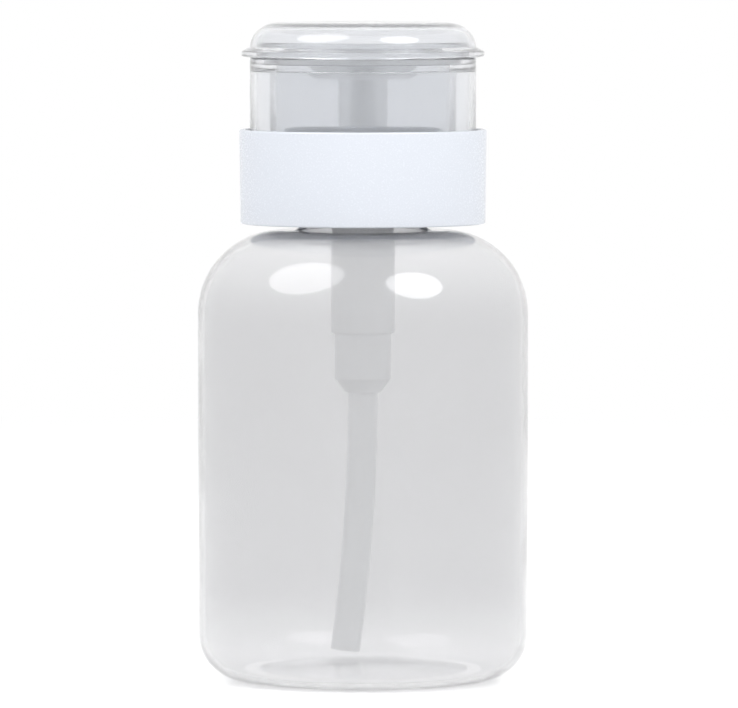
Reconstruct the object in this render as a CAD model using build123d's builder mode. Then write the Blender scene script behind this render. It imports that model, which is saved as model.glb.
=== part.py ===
from build123d import *
import os
from math import cos, pi, radians, sin, sqrt, tan

# Push-down dispenser for nail polish remover, in millimetres. The bottle stands on z = 0 and
# its axis is Z. The front faces -Y, and the lid's hinge is at the back, +Y. Radii are from the axis.

os.makedirs("parts", exist_ok=True)

# Bottle, blown in one piece, with a 28 mm screw finish
bottle_radius = 33.0
bottle_wall = 1.2
shoulder_height = 89.9
shoulder_flat = 3.8
base_corner = 9.0
foot_width = 3.0
push_up = 2.4
neck_radius = 12.6
neck_wall = 1.4
neck_height = 18.0
neck_fillet = 1.2
neck_rim_round = 0.4

# Screw collar, from its threaded skirt outwards
thread_room = 1.8
skirt_wall = 1.6
deck_thick = 1.2
collar_gap = 1.3
collar_web = 1.8
collar_wall = 1.2
collar_clear = 0.9
collar_taper = 0.25
collar_rim_drop = 1.35
collar_round = 0.4
turn_fit = 0.05

# Gasket, barrel and cap of the pump
gasket_thick = 1.0
gasket_room = 1.1
gasket_fit = 0.1
barrel_radius = 6.35
barrel_wall = 0.9
barrel_length = 38.7
flange_thick = 1.2
flange_edge = 0.3
vent_radius = 0.5
vent_drop = 2.0
cap_wall = 1.05
cap_lip = 1.0
cap_web = 0.6
cap_fit = 0.05
deck_fit = 0.1

# Inlet valve: ball, its cone and the four ribs that guide and hold it
chamber_step = 0.75
inlet_ball_radius = 2.2
inlet_lift = 1.5
ball_gap = 0.05
inlet_throat_share = 0.7
throat_length = 1.2
seat_angle = 45
rib_count = 4
rib_thick = 0.9
rib_guide = 0.25
hook_reach = 1.4
hook_height = 1.65
tail_cone = 2.8
tail_wall = 0.6

# Dip tube, pressed into the barrel's tail and leaning a little where it hangs free
tube_radius = 2.9
tube_wall = 0.7
tube_fit = 0.02
tube_socket = 5.0
tube_lean = 3.6
tube_clear = 2.0

# Piston, its retainer and the hollow stem
stroke = 9.0
piston_length = 5.7
piston_fit = 0.05
piston_hub = 1.0
piston_lip = 0.35
lip_depth = 1.6
lip_land = 0.7
waist_depth = 0.5
stem_wall = 1.1
stem_fit = 0.02
retainer_flange = 1.2
retainer_clear = 0.25
nose_length = 4.6
nose_clear = 0.75
nose_chamfer = 0.8
spigot_length = 3.6
retainer_bore = 0.8

# Return spring
wire_radius = 0.45
spring_clear = 0.2
spring_gap = 0.1
end_turns = 1
active_turns = 6
end_pitch = 1.4

# Outlet valve and the button over it
outlet_ball_radius = 2.0
outlet_lift = 1.2
outlet_seat_share = 0.75
outlet_room = 0.3
button_radius = 3.6
button_wall = 1.0
button_recess = 0.5
button_rise = 2.0
button_crown = 0.9
button_dome = 0.25
button_fit = 0.02
slot_count = 6
slot_width = 0.9
stub_radius = 0.8

# Dish, with the boss that goes down through the cap
boss_step = 0.55
boss_fit = 0.1
press_gap = 0.1
dish_thick = 1.2
dish_depth = 2.5
dish_floor_radius = 9.8
dish_rise_width = 3.2
dish_bend = 2.4
dish_fit = 0.05

# Press sleeve: guide ring inside, sleeve outside, shelf and spigot
ring_room = 1.4
ring_wall = 1.2
ring_gap = 2.8
ring_rise = 1.8
sleeve_wall = 1.2
sleeve_clear = 0.2
shelf_thick = 1.2
seat_rise = 1.25
spigot_height = 3.1
spigot_wall = 1.2
spigot_round = 0.55

# Flip lid, its lip and its hinge
lid_wall = 1.2
lid_fit = 0.15
lid_gap = 0.05
lid_inset = 0.05
lid_height = 7.35
lid_corner = 5.5
lid_corner_fill = 0.6
lid_crown = 0.5
lip_reach = 1.7
lip_root = 2.2
lip_tip = 1.0
lip_tip_rise = 0.35
hinge_reach = 2.4
hinge_rise = 0.4
pin_radius = 1.0
pin_fit = 0.05
knuckle_radius = 1.7
knuckle_half = 4.1
ear_gap = 0.3
ear_thick = 1.4
ear_radius = 2.0
ear_drop = 3.8
pin_inset = 0.1
bridge_thick = 1.6

# Cuts run past faces by this much, and edges are picked within this distance of a level
overrun = 1.0
pick = 0.01

# Levels and radii that follow from the sizes above
neck_top = shoulder_height + neck_height
gasket_top = neck_top + gasket_thick
flange_top = gasket_top + flange_thick
deck_bottom = flange_top + turn_fit
deck_top = deck_bottom + deck_thick
collar_bottom = shoulder_height + collar_gap
collar_top = deck_top - collar_rim_drop
web_top = collar_bottom + collar_web

skirt_inner = neck_radius + thread_room
skirt_outer = skirt_inner + skirt_wall
ring_inner = skirt_outer + ring_room
ring_outer = ring_inner + ring_wall
sleeve_inner = ring_outer + ring_gap
sleeve_outer = sleeve_inner + sleeve_wall
collar_inner = sleeve_outer + collar_clear
collar_outer = collar_inner + collar_wall

bore_radius = barrel_radius - barrel_wall
boss_radius = bore_radius - boss_step
cap_hole = boss_radius + boss_fit
cap_body = barrel_radius + cap_fit + cap_wall
cap_outer = cap_body + cap_lip
cap_bottom = deck_top - cap_web
piston_top = cap_bottom - turn_fit
piston_bottom = piston_top - piston_length
retainer_top = piston_bottom - turn_fit
retainer_bottom = retainer_top - retainer_flange
boss_bottom = cap_bottom

floor_bottom = deck_top + stroke + press_gap
floor_top = floor_bottom + dish_thick
rim_top = floor_top + dish_depth
shelf_top = rim_top - dish_thick
shelf_bottom = shelf_top - shelf_thick
sleeve_bottom = web_top + stroke + sleeve_clear
ring_bottom = sleeve_bottom + ring_rise
lid_seat = shelf_top + seat_rise
spigot_top = lid_seat + spigot_height

lid_outer = sleeve_outer - lid_inset
lid_inner = lid_outer - lid_wall
lid_bottom = lid_seat + lid_gap
lid_top = lid_bottom + lid_height
spigot_outer = lid_inner - lid_fit
spigot_inner = spigot_outer - spigot_wall
dish_radius = spigot_inner - dish_fit

hinge_y = sleeve_outer + hinge_reach
hinge_z = lid_seat + hinge_rise
ear_inner = knuckle_half + ear_gap
ear_outer = ear_inner + ear_thick
ear_foot = lid_seat - ear_drop

# Outlet ball: it stops under the button's stub and rests on the stem's rim
stem_bore = outlet_ball_radius * outlet_seat_share
stem_radius = stem_bore + stem_wall
outlet_high = floor_top - ball_gap - outlet_ball_radius
outlet_rest = outlet_high - outlet_lift
stem_top = outlet_rest - sqrt((outlet_ball_radius + ball_gap) ** 2 - stem_bore**2)
outlet_chamber = outlet_ball_radius + outlet_room

# Inlet ball: it stops under the ribs' hooks and rests in the cone
ledge = gasket_top - barrel_length
hook_bottom = ledge - hook_height
chamber_radius = barrel_radius - chamber_step
chamber_bore = chamber_radius - barrel_wall
inlet_high = hook_bottom - ball_gap - sqrt(inlet_ball_radius**2 - hook_reach**2)
inlet_rest = inlet_high - inlet_lift
throat_radius = inlet_ball_radius * inlet_throat_share
seat_slope = tan(radians(seat_angle))
seat_bottom = inlet_rest + throat_radius * seat_slope - (inlet_ball_radius + ball_gap) / cos(radians(seat_angle))
seat_top = seat_bottom + (chamber_bore - throat_radius) * seat_slope
socket_top = seat_bottom - throat_length
tail_bottom = socket_top - tube_socket
tail_radius = tube_radius + tube_fit + tail_wall
outer_step = ledge - barrel_wall


def radial_plane(angle):
    """The upright plane that holds the axis, turned by angle from +X."""
    turn = radians(angle)
    return Plane(origin=(0, 0, 0), x_dir=(cos(turn), sin(turn), 0), z_dir=(sin(turn), -cos(turn), 0))


def dome(radius, top, crown, corner):
    """Draws half a dome, from its top on the axis to where its side is upright, and gives that point."""
    crown_radius = (radius**2 + crown**2) / (2 * crown)
    inset = radius - corner
    rise = sqrt((crown_radius - corner) ** 2 - inset**2)
    stretch = crown_radius / (crown_radius - corner)
    meeting = (inset * stretch, top - crown_radius + rise * stretch)
    side = (radius, top - crown_radius + rise)
    TangentArc((0, top), meeting, tangent=(1, 0))
    TangentArc(meeting, side, tangent=(rise, -inset))
    return side


def edges_at(part, level, radius):
    """The round edges of a part at one level and of one radius."""
    rings = part.edges().filter_by(GeomType.CIRCLE).filter_by_position(Axis.Z, level - pick, level + pick)
    return rings.filter_by(lambda edge: abs(edge.radius - radius) < pick)


# Bottle: straight side, round shoulder, pushed-up base with a flat foot ring
shoulder_corner = bottle_radius - neck_radius - shoulder_flat
foot_inner = bottle_radius - base_corner - foot_width
neck_bore = neck_radius - neck_wall
with BuildPart() as bottle:
    with BuildSketch(Plane.XZ):
        with BuildLine():
            FilletPolyline(
                (foot_inner, 0),
                (bottle_radius, 0),
                (bottle_radius, shoulder_height),
                (neck_radius, shoulder_height),
                (neck_radius, neck_top),
                radius=(base_corner, shoulder_corner, neck_fillet),
            )
            Polyline((neck_radius, neck_top), (0, neck_top), (0, push_up))
            TangentArc((0, push_up), (foot_inner, 0), tangent=(1, 0))
        make_face()
    revolve(axis=Axis.Z)
    with BuildSketch(Plane.XZ):
        with BuildLine():
            FilletPolyline(
                (foot_inner, bottle_wall),
                (bottle_radius - bottle_wall, bottle_wall),
                (bottle_radius - bottle_wall, shoulder_height - bottle_wall),
                (neck_bore, shoulder_height - bottle_wall),
                (neck_bore, neck_top + overrun),
                radius=(
                    base_corner - bottle_wall,
                    shoulder_corner - bottle_wall,
                    neck_fillet + bottle_wall,
                ),
            )
            Polyline(
                (neck_bore, neck_top + overrun),
                (0, neck_top + overrun),
                (0, push_up + bottle_wall),
            )
            TangentArc((0, push_up + bottle_wall), (foot_inner, bottle_wall), tangent=(1, 0))
        make_face()
    revolve(axis=Axis.Z, mode=Mode.SUBTRACT)
    fillet(edges_at(bottle, neck_top, neck_radius), neck_rim_round)
    fillet(edges_at(bottle, neck_top, neck_bore), neck_rim_round)
bottle.part.label = "bottle"
export_step(bottle.part, "parts/bottle.step")

# Screw collar: outer wall and threaded skirt joined by a web at the bottom, with a channel
# between them for the press sleeve, and a deck over the neck that turns round the pump's cap
cap_counterbore = cap_outer + deck_fit
cap_through = cap_body + deck_fit
with BuildPart() as screw_collar:
    with BuildSketch(Plane.XZ):
        with BuildLine():
            Polyline(
                (skirt_inner, collar_bottom),
                (collar_outer - collar_taper, collar_bottom),
                (collar_outer, collar_top),
                (collar_inner, collar_top),
                (collar_inner - collar_taper, web_top),
                (skirt_outer, web_top),
                (skirt_outer, deck_top),
                (cap_counterbore, deck_top),
                (cap_counterbore, cap_bottom - cap_fit),
                (cap_through, cap_bottom - cap_fit),
                (cap_through, deck_bottom),
                (skirt_inner, deck_bottom),
                close=True,
            )
        make_face()
    revolve(axis=Axis.Z)
    fillet(edges_at(screw_collar, collar_top, collar_outer), collar_round)
    fillet(edges_at(screw_collar, collar_bottom, collar_outer - collar_taper), collar_round)
    fillet(edges_at(screw_collar, deck_top, skirt_outer), collar_round)
screw_collar.part.label = "screw_collar"
export_step(screw_collar.part, "parts/screw_collar.step")

# Gasket on the neck's rim, under the barrel's flange
gasket_outer = skirt_inner - gasket_room
with BuildPart() as neck_gasket:
    with BuildSketch(Plane.XY.offset(neck_top)):
        Circle(gasket_outer)
        Circle(barrel_radius + gasket_fit, mode=Mode.SUBTRACT)
    extrude(amount=gasket_thick)
neck_gasket.part.label = "neck_gasket"
export_step(neck_gasket.part, "parts/neck_gasket.step")

# Barrel: flange and upstand at the top, bore for the piston, ball chamber, and a tail that
# grips the dip tube. The four ribs guide the ball, stop it with their hooks and carry the spring
flange_radius = neck_radius - flange_edge
rib_inner = inlet_ball_radius + rib_guide
rib_outer = (chamber_bore + chamber_radius) / 2
with BuildPart() as pump_barrel:
    with BuildSketch(Plane.XZ):
        with BuildLine():
            Polyline(
                (0, tail_bottom),
                (tail_radius, tail_bottom),
                (chamber_radius, tail_bottom + tail_cone),
                (chamber_radius, outer_step),
                (barrel_radius, outer_step),
                (barrel_radius, gasket_top),
                (flange_radius, gasket_top),
                (flange_radius, flange_top),
                (barrel_radius, flange_top),
                (barrel_radius, cap_bottom),
                (0, cap_bottom),
                close=True,
            )
        make_face()
    revolve(axis=Axis.Z)
    with BuildSketch(Plane.XZ):
        with BuildLine():
            Polyline(
                (0, tail_bottom - overrun),
                (tube_radius + tube_fit, tail_bottom - overrun),
                (tube_radius + tube_fit, socket_top),
                (throat_radius, socket_top),
                (throat_radius, seat_bottom),
                (chamber_bore, seat_top),
                (chamber_bore, ledge),
                (bore_radius, ledge),
                (bore_radius, cap_bottom + overrun),
                (0, cap_bottom + overrun),
                close=True,
            )
        make_face()
    revolve(axis=Axis.Z, mode=Mode.SUBTRACT)
    for rib in range(rib_count):
        with BuildSketch(radial_plane(360 * rib / rib_count)):
            with BuildLine():
                Polyline(
                    (rib_inner, seat_bottom),
                    (rib_inner, hook_bottom),
                    (hook_reach, hook_bottom),
                    (hook_reach, ledge),
                    (rib_outer, ledge),
                    (rib_outer, seat_bottom),
                    close=True,
                )
            make_face()
        extrude(amount=rib_thick / 2, both=True)
    with BuildSketch(Plane.YZ):
        with Locations((0, gasket_top - vent_drop)):
            Circle(vent_radius)
    extrude(amount=barrel_radius + overrun, mode=Mode.SUBTRACT)
pump_barrel.part.label = "pump_barrel"
export_step(pump_barrel.part, "parts/pump_barrel.step")

# Cap: snaps over the barrel's upstand, holds the piston in and the collar down
with BuildPart() as barrel_cap:
    with BuildSketch(Plane.XZ):
        with BuildLine():
            Polyline(
                (cap_hole, cap_bottom),
                (barrel_radius + cap_fit, cap_bottom),
                (barrel_radius + cap_fit, flange_top),
                (cap_body, flange_top),
                (cap_body, cap_bottom),
                (cap_outer, cap_bottom),
                (cap_outer, deck_top),
                (cap_hole, deck_top),
                close=True,
            )
        make_face()
    revolve(axis=Axis.Z)
barrel_cap.part.label = "barrel_cap"
export_step(barrel_cap.part, "parts/barrel_cap.step")

# Dip tube: straight in the barrel's tail, then one long gentle bend to just above the base
tube_bottom = push_up + bottle_wall + tube_clear
with BuildPart() as dip_tube:
    with BuildLine() as tube_path:
        Line((0, 0, socket_top), (0, 0, tail_bottom))
        TangentArc((0, 0, tail_bottom), (-tube_lean, 0, tube_bottom), tangent=(0, 0, -1))
    with BuildSketch(Plane(origin=(0, 0, socket_top), z_dir=(0, 0, -1))):
        Circle(tube_radius)
        Circle(tube_radius - tube_wall, mode=Mode.SUBTRACT)
    sweep(path=tube_path.line)
dip_tube.part.label = "dip_tube"
export_step(dip_tube.part, "parts/dip_tube.step")
tube_section = pi * (tube_radius**2 - (tube_radius - tube_wall) ** 2)
tube_length = sum(edge.length for edge in tube_path.line.edges())
print("dip tube: volume", round(dip_tube.part.volume, 2), "section x length", round(tube_section * tube_length, 2))

# Inlet ball, resting a hair above its cone
with BuildPart() as inlet_ball:
    with Locations((0, 0, inlet_rest)):
        Sphere(inlet_ball_radius)
inlet_ball.part.label = "inlet_ball"
export_step(inlet_ball.part, "parts/inlet_ball.step")

# Return spring: one wire from the ledge to the retainer, its end turns close together.
# Each half turn is a pair of tangent arcs
coil_radius = bore_radius - spring_clear - wire_radius
spring_bottom = ledge + spring_gap + wire_radius
spring_top = retainer_bottom - spring_gap - wire_radius
active_pitch = (spring_top - spring_bottom - 2 * end_turns * end_pitch) / active_turns
turn_pitches = [end_pitch] * end_turns + [active_pitch] * active_turns + [end_pitch] * end_turns
half_rises = [pitch / 2 for pitch in turn_pitches for half in range(2)]


def spring_node(index):
    """The wire's centre after a number of half turns, and its direction there."""
    side = 1 if index % 2 == 0 else -1
    height = spring_bottom + sum(half_rises[:index])
    near = half_rises[max(index - 1, 0) : index + 1]
    climb = sum(near) / len(near) / (pi * coil_radius)
    return Vector(side * coil_radius, 0, height), Vector(0, side, climb).normalized()


def arc_meeting(start, start_way, end, end_way):
    """Where two arcs meet that leave start and reach end in the given directions."""
    span = end - start
    ways = start_way + end_way
    spread = 4 - ways.dot(ways)
    reach = (-span.dot(ways) + sqrt(span.dot(ways) ** 2 + spread * span.dot(span))) / spread
    first = start + start_way * reach
    second = end - end_way * reach
    return (first + second) / 2, (second - first).normalized()


with BuildPart() as return_spring:
    with BuildLine() as wire_path:
        for index in range(len(half_rises)):
            start, start_way = spring_node(index)
            end, end_way = spring_node(index + 1)
            middle, middle_way = arc_meeting(start, start_way, end, end_way)
            TangentArc(start, middle, tangent=start_way)
            TangentArc(middle, end, tangent=middle_way)
    with BuildSketch(Plane(origin=spring_node(0)[0], z_dir=spring_node(0)[1])):
        Circle(wire_radius)
    sweep(path=wire_path.line)
return_spring.part.label = "return_spring"
export_step(return_spring.part, "parts/return_spring.step")
wire = Wire(wire_path.line.edges())
samples_per_turn = 24
sample_count = samples_per_turn * len(turn_pitches)
samples = [wire @ (index / sample_count) for index in range(sample_count + 1)]
self_gap = min(
    (samples[near] - samples[far]).length
    for near in range(len(samples))
    for far in range(near + samples_per_turn // 2, len(samples))
)
print("return spring: least gap to itself", round(self_gap - 2 * wire_radius, 3))
print("return spring: volume", round(return_spring.part.volume, 2),
      "section x length", round(pi * wire_radius**2 * wire.length, 2))

# Piston: soft seal with a feathered lip at each end
piston_inner = stem_radius + piston_fit
piston_outer = bore_radius - piston_fit
hub_outer = piston_inner + piston_hub
waist_radius = piston_outer - waist_depth
lip_bottom = piston_bottom + piston_lip
with BuildPart() as piston:
    with BuildSketch(Plane.XZ):
        with BuildLine():
            Polyline(
                (piston_inner, piston_bottom),
                (hub_outer, piston_bottom),
                ((hub_outer + waist_radius) / 2, lip_bottom + lip_depth),
                (piston_outer - piston_lip, lip_bottom),
                (piston_outer, lip_bottom),
                (piston_outer, lip_bottom + lip_land),
                (waist_radius, lip_bottom + lip_depth),
                (waist_radius, piston_top - lip_depth),
                (piston_outer, piston_top - lip_land),
                (piston_outer, piston_top),
                (piston_inner, piston_top),
                close=True,
            )
        make_face()
    revolve(axis=Axis.Z)
piston.part.label = "piston"
export_step(piston.part, "parts/piston.step")

# Stem: hollow rod, its upper rim the outlet ball's seat
with BuildPart() as stem:
    with BuildSketch(Plane.XY.offset(retainer_top)):
        Circle(stem_radius)
        Circle(stem_bore, mode=Mode.SUBTRACT)
    extrude(amount=stem_top - retainer_top)
stem.part.label = "stem"
export_step(stem.part, "parts/stem.step")

# Retainer: flange under the piston, spigot up the stem's bore and a nose inside the spring
nose_bottom = retainer_bottom - nose_length
nose_radius = coil_radius - wire_radius - nose_clear
with BuildPart() as piston_retainer:
    with BuildSketch(Plane.XZ):
        with BuildLine():
            Polyline(
                (retainer_bore, nose_bottom),
                (nose_radius - nose_chamfer, nose_bottom),
                (nose_radius, nose_bottom + nose_chamfer),
                (nose_radius, retainer_bottom),
                (bore_radius - retainer_clear, retainer_bottom),
                (bore_radius - retainer_clear, retainer_top),
                (stem_bore - stem_fit, retainer_top),
                (stem_bore - stem_fit, retainer_top + spigot_length),
                (retainer_bore, retainer_top + spigot_length),
                close=True,
            )
        make_face()
    revolve(axis=Axis.Z)
piston_retainer.part.label = "piston_retainer"
export_step(piston_retainer.part, "parts/piston_retainer.step")

# Outlet ball, resting a hair above the stem's rim
with BuildPart() as outlet_ball:
    with Locations((0, 0, outlet_rest)):
        Sphere(outlet_ball_radius)
outlet_ball.part.label = "outlet_ball"
export_step(outlet_ball.part, "parts/outlet_ball.step")

# Dish: shallow tray with the boss below it, bored for the stem and the outlet ball
dish_curve_start = dish_floor_radius
dish_curve_end = dish_floor_radius + dish_rise_width
recess_radius = button_radius + button_fit
with BuildPart() as dish:
    with BuildSketch(Plane.XZ):
        with BuildLine():
            FilletPolyline(
                (0, floor_top),
                (dish_curve_start, floor_top),
                (dish_curve_end, rim_top),
                (dish_radius, rim_top),
                radius=dish_bend,
            )
            Line((dish_radius, rim_top), (dish_radius, shelf_top))
            FilletPolyline(
                (dish_radius, shelf_top),
                (dish_curve_end, shelf_top),
                (dish_curve_start, floor_bottom),
                (0, floor_bottom),
                radius=dish_bend,
            )
            Line((0, floor_bottom), (0, floor_top))
        make_face()
    revolve(axis=Axis.Z)
    with BuildSketch(Plane.XY.offset(boss_bottom)):
        Circle(boss_radius)
    extrude(amount=floor_bottom - boss_bottom)
    with BuildSketch(Plane.XZ):
        with BuildLine():
            Polyline(
                (0, boss_bottom - overrun),
                (stem_radius + stem_fit, boss_bottom - overrun),
                (stem_radius + stem_fit, stem_top),
                (outlet_chamber, stem_top),
                (outlet_chamber, floor_top - button_recess),
                (recess_radius, floor_top - button_recess),
                (recess_radius, floor_top + overrun),
                (0, floor_top + overrun),
                close=True,
            )
        make_face()
    revolve(axis=Axis.Z, mode=Mode.SUBTRACT)
dish.part.label = "dish"
export_step(dish.part, "parts/dish.step")

# Button: a slotted cap pressed into the dish, with a stub that stops the ball
button_bottom = floor_top - button_recess
button_top = floor_top + button_rise
crown_bottom = button_top - button_crown
slot_height = crown_bottom - floor_top
with BuildPart() as outlet_button:
    with BuildSketch(Plane.XZ):
        with BuildLine():
            TangentArc((0, button_top), (button_radius, button_top - button_dome), tangent=(1, 0))
            Polyline(
                (button_radius, button_top - button_dome),
                (button_radius, button_bottom),
                (button_radius - button_wall, button_bottom),
                (button_radius - button_wall, crown_bottom),
                (stub_radius, crown_bottom),
                (stub_radius, floor_top),
                (0, floor_top),
                (0, button_top),
            )
        make_face()
    revolve(axis=Axis.Z)
    with Locations((0, 0, floor_top + slot_height / 2)):
        with PolarLocations(button_radius, slot_count):
            Box(2 * button_wall + overrun, slot_width, slot_height, mode=Mode.SUBTRACT)
outlet_button.part.label = "outlet_button"
export_step(outlet_button.part, "parts/outlet_button.step")

# Press sleeve: slides in the collar's channel. The shelf carries the dish, the guide ring
# runs round the collar's skirt, the spigot takes the lid and two ears hold its pivots
with BuildPart() as press_sleeve:
    with BuildSketch(Plane.XZ):
        with BuildLine():
            Polyline(
                (sleeve_inner, sleeve_bottom),
                (sleeve_outer, sleeve_bottom),
                (sleeve_outer, lid_seat),
                (spigot_outer, lid_seat),
                (spigot_outer, spigot_top),
                (spigot_inner, spigot_top),
                (spigot_inner, shelf_top),
                (ring_inner, shelf_top),
                (ring_inner, ring_bottom),
                (ring_outer, ring_bottom),
                (ring_outer, shelf_bottom),
                (sleeve_inner, shelf_bottom),
                close=True,
            )
        make_face()
    revolve(axis=Axis.Z)
    fillet(edges_at(press_sleeve, spigot_top, spigot_outer), spigot_round)
    fillet(edges_at(press_sleeve, spigot_top, spigot_inner), spigot_round)
    for ear_plane in (Plane.YZ.offset(ear_inner), Plane.YZ.offset(-ear_outer)):
        with BuildSketch(ear_plane):
            with BuildLine():
                Polyline(
                    (sleeve_inner, ear_foot),
                    (hinge_y, hinge_z - ear_radius),
                    (hinge_y, lid_seat),
                    (sleeve_inner, lid_seat),
                    close=True,
                )
            make_face()
            with Locations((hinge_y, hinge_z)):
                Circle(ear_radius)
                Circle(pin_radius + pin_fit, mode=Mode.SUBTRACT)
        extrude(amount=ear_thick)
press_sleeve.part.label = "press_sleeve"
export_step(press_sleeve.part, "parts/press_sleeve.step")

# Flip lid: domed shell with a lip all round, notched at the ears, and a knuckle whose ends
# are the two pivots
lip_radius = lid_outer + lip_reach
hollow_corner = lid_corner - lid_wall - lid_corner_fill
with BuildPart() as flip_lid:
    with BuildSketch(Plane.XZ):
        with BuildLine():
            shell_side = dome(lid_outer, lid_top, lid_crown, lid_corner)
            Polyline(
                shell_side,
                (lid_outer, lid_bottom + lip_root),
                (lip_radius, lid_bottom + lip_tip_rise + lip_tip),
                (lip_radius, lid_bottom + lip_tip_rise),
                (lid_outer, lid_bottom),
                (0, lid_bottom),
                (0, lid_top),
            )
        make_face()
    revolve(axis=Axis.Z)
    with BuildSketch(Plane.XZ):
        with BuildLine():
            hollow_side = dome(lid_inner, lid_top - lid_wall, lid_crown, hollow_corner)
            Polyline(
                hollow_side,
                (lid_inner, lid_bottom - overrun),
                (0, lid_bottom - overrun),
                (0, lid_top - lid_wall),
            )
        make_face()
    revolve(axis=Axis.Z, mode=Mode.SUBTRACT)
    notch_height = lip_root + overrun
    for notch_plane in (Plane.YZ.offset(knuckle_half), Plane.YZ.offset(-ear_outer - ear_gap)):
        with BuildSketch(notch_plane):
            with Locations((lid_outer, lid_bottom - overrun)):
                Rectangle(lip_reach + overrun, notch_height + overrun, align=(Align.MIN, Align.MIN))
        extrude(amount=ear_thick + 2 * ear_gap, mode=Mode.SUBTRACT)
    with BuildSketch(Plane.YZ.offset(-knuckle_half)):
        with Locations((lid_inner + lid_wall / 2, lid_bottom)):
            Rectangle(hinge_y - lid_inner - lid_wall / 2, bridge_thick, align=(Align.MIN, Align.MIN))
        with Locations((hinge_y, hinge_z)):
            Circle(knuckle_radius)
    extrude(amount=2 * knuckle_half)
    with BuildSketch(Plane.YZ.offset(pin_inset - ear_outer)):
        with Locations((hinge_y, hinge_z)):
            Circle(pin_radius)
    extrude(amount=2 * (ear_outer - pin_inset))
flip_lid.part.label = "flip_lid"
export_step(flip_lid.part, "parts/flip_lid.step")

print("total height", round(lid_top, 2), "levels: ledge", round(ledge, 2), "inlet ball", round(inlet_rest, 2),
      "outlet ball", round(outlet_rest, 2), "stem top", round(stem_top, 2), "tail", round(tail_bottom, 2))
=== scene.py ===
"""Push-down dispenser bottle for nail polish remover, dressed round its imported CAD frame.

Laid out as a Blender add-on and run as a script. Pieces are drawn in millimetres, upright on
the bottle's axis, and come down to metres when they are finished. The front faces -Y.
"""
from functools import partial
from math import atan2, cos, degrees, pi, radians, sin, tan, tau
from types import SimpleNamespace

import bmesh
import bpy
from bpy.props import FloatProperty, FloatVectorProperty, IntProperty, PointerProperty
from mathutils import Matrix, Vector


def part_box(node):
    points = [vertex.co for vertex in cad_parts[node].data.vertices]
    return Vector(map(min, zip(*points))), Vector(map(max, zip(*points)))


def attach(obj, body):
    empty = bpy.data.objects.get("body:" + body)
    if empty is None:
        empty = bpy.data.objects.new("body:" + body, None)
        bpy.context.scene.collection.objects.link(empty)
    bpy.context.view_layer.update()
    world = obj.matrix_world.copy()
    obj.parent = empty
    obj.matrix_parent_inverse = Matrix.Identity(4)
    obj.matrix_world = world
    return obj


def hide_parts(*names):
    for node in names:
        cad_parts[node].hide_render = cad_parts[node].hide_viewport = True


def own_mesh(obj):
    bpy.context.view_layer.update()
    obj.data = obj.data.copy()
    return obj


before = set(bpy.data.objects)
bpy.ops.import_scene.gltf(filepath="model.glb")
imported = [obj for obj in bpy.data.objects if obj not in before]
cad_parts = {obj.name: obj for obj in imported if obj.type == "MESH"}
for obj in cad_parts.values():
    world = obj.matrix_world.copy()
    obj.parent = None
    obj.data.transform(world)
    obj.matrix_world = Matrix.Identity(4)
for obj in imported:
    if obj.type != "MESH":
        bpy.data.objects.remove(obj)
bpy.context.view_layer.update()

bl_info = {
    "name": "Push-down dispenser bottle",
    "version": (1, 0, 0),
    "blender": (4, 5, 0),
    "location": "3D View > Sidebar > Dispenser",
    "description": "Models a push-down dispenser bottle with a screw collar, pump and flip lid",
    "category": "Object",
}

MM = 0.001
MERGE = 0.0005  # mm between points that are one
NEAR = 0.002  # mm within which a point is picked by its place
# Name, degrees right of the front, degrees above the level, and width in metres
SOFTBOXES = (("softbox_right", 46, 43, 1.3), ("softbox_left", -59, 51, 1.65))
BOTTLE_RINGS = 180  # steps round the axis of the bottle
RINGS = 144  # steps round the other large turned pieces
PUMP_RINGS = 96  # steps round the barrel and what fits it
SMALL_RINGS = 64  # steps round the small ones
TOOL_REACH = 1.0  # mm that a cutting tool reaches past the wall
SHARP = radians(32)  # edges bent more than this stay crisp
QUARTER = radians(90)
PRESS_FIT = 0.02  # mm of play between pieces pressed together
SNAP_FIT = 0.05  # mm of play between pieces that snap on or turn
FULL_ROUND = 0.97  # share of half an end's height that its two rounds take


def length(label, told, value):
    """A length property, given in millimetres and kept in metres."""
    return FloatProperty(name=label, description=told, default=value * MM, min=0, unit="LENGTH", precision=5)


def colour(label, told, code):
    """A colour property, given as an sRGB hex code."""
    return FloatVectorProperty(name=label, description=told, default=tone(code)[:3], size=3, min=0, max=1,
                               subtype="COLOR")


def tone(code):
    """An sRGB hex code as linear red, green, blue and alpha."""
    shares = [int(code[at:at + 2], 16) / 255 for at in (1, 3, 5)]
    linear = [share / 12.92 if share <= 0.04045 else ((share + 0.055) / 1.055) ** 2.4 for share in shares]
    return (*linear, 1.0)


class BottleSizes(bpy.types.PropertyGroup):
    """Sizes of the blown bottle."""
    wall: length("Wall", "Thickness of the blown wall", 1.2)
    foot_inner: length("Foot ring inside", "Radius where the pushed-up base starts", 21.0)
    base_corner: length("Base corner", "Radius of the round between side and base", 9.0)
    push_up: length("Push-up", "Height of the base's centre over the table", 2.4)
    shoulder_height: length("Shoulder height", "Level of the shoulder's top", 89.9)
    shoulder_corner: length("Shoulder corner", "Radius of the round shoulder", 16.6)
    neck_radius: length("Neck radius", "Outside of the neck without its thread", 12.6)
    neck_wall: length("Neck wall", "Thickness of the neck", 1.4)
    neck_fillet: length("Neck fillet", "Round where neck meets shoulder", 1.2)
    rim_round: length("Rim round", "Round on the neck's rim", 0.4)


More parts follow.
